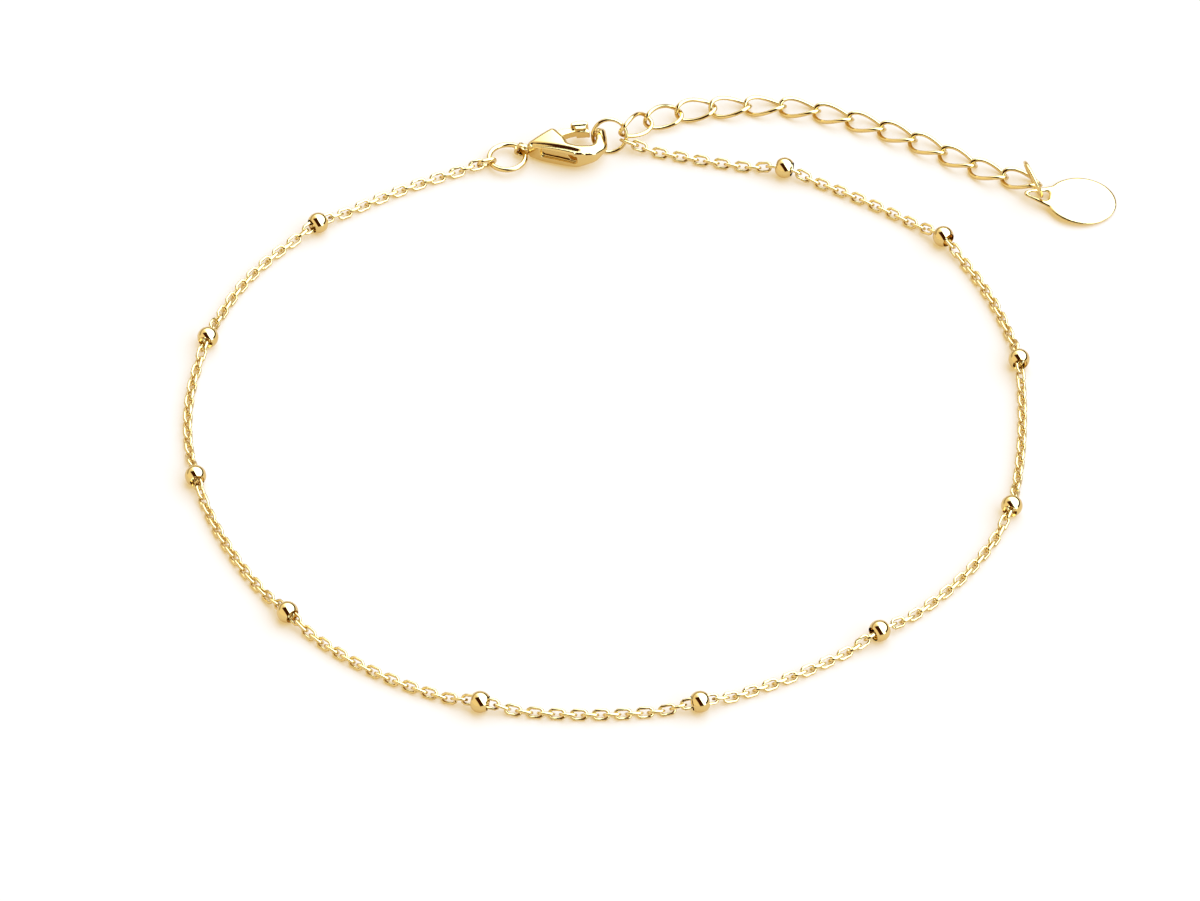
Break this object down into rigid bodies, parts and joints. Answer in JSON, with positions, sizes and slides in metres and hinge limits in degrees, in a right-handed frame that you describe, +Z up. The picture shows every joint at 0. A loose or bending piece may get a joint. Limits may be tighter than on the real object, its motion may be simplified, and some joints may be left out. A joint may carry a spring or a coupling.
{
  "type": "chain anklet",
  "caption": "Fine gold anklet laid out closed: cable chain through drilled balls, lobster clasp on a catch ring, curb extender with an oval tag.",
  "frame": {"origin": "on the surface the anklet lies on, inside the loop", "axes": "+Z up off the surface, +Y from the loop towards the clasp, +X from the clasp along the extender"},
  "size_m": [0.0888, 0.0798, 0.0038],
  "materials": {
    "chain_gold": "polished pale yellow gold",
    "bead_gold": "polished pale yellow gold",
    "ring_gold": "polished pale yellow gold",
    "extender_gold": "polished pale yellow gold",
    "tag_gold": "polished pale yellow gold",
    "clasp_gold": "polished pale yellow gold"
  },
  "bodies": {
    "anklet": {"chain": "chain_gold", "bead_01": "bead_gold", "bead_02": "bead_gold", "bead_03": "bead_gold", "bead_04": "bead_gold", "bead_05": "bead_gold", "bead_06": "bead_gold", "bead_07": "bead_gold", "bead_08": "bead_gold", "bead_09": "bead_gold", "bead_10": "bead_gold", "bead_11": "bead_gold", "catch_ring": "ring_gold", "tail_ring": "ring_gold", "tag_ring": "ring_gold", "extender_link_01": "extender_gold", "extender_link_02": "extender_gold", "extender_link_03": "extender_gold", "extender_link_04": "extender_gold", "extender_link_05": "extender_gold", "extender_link_06": "extender_gold", "extender_link_07": "extender_gold", "extender_link_08": "extender_gold", "extender_link_09": "extender_gold", "extender_link_10": "extender_gold", "extender_link_11": "extender_gold", "extender_link_12": "extender_gold", "extender_link_13": "extender_gold", "tag": "tag_gold", "clasp_body": "clasp_gold"},
    "trigger": {"clasp_trigger": "clasp_gold"}
  },
  "joints": [
    {"name": "trigger_hinge", "type": "hinge", "parent": "anklet", "child": "trigger", "pos_m": [-0.00328, 0.04087, 0.00117], "axis": [0.0697, -0.0012, -0.9976], "range_deg": [0, 20], "stiffness_Nm_per_rad": 0.00001, "springref_deg": -20.05}
  ]
}
